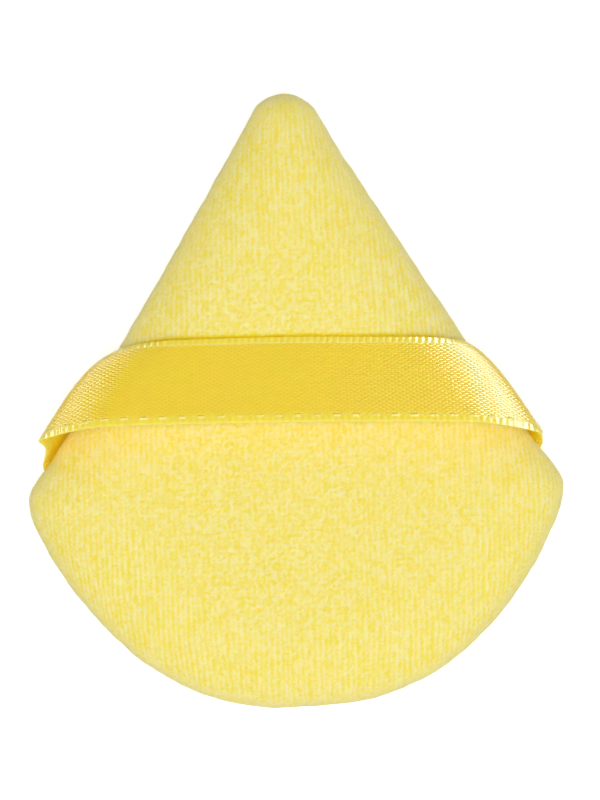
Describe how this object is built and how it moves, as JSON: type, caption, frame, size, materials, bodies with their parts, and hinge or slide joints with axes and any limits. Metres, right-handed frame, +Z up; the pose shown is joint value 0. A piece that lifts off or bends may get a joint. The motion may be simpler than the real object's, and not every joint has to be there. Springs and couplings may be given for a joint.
{
  "type": "powder puff",
  "caption": "Pointed velour powder puff: soft triangular pad with a rounded lower edge and a satin ribbon strap across its back for the fingers.",
  "frame": {"origin": "on the surface that the puff lies on, under the middle of its length and width", "axes": "+Z up from the powder face to the palm face, +Y from the round edge to the pointed tip, +X to the right seen from above with the tip away from the viewer"},
  "size_m": [0.07, 0.08, 0.0185],
  "materials": {
    "velour": "matte",
    "satin_ribbon": "satin",
    "thread": "matte",
    "sponge": "matte"
  },
  "bodies": {
    "pad": {"palm_panel": "velour", "powder_panel": "velour", "sponge_core": "sponge", "ribbon_end_right": "satin_ribbon", "ribbon_end_left": "satin_ribbon", "needle_thread": "thread", "bobbin_thread": "thread", "closing_thread": "thread"},
    "strap": {"ribbon_strap": "satin_ribbon"}
  },
  "joints": [
    {"name": "strap_swing", "type": "hinge", "parent": "pad", "child": "strap", "pos_m": [0, -0.003, 0.006], "axis": [1, 0, 0], "range_deg": [0, 57]}
  ]
}
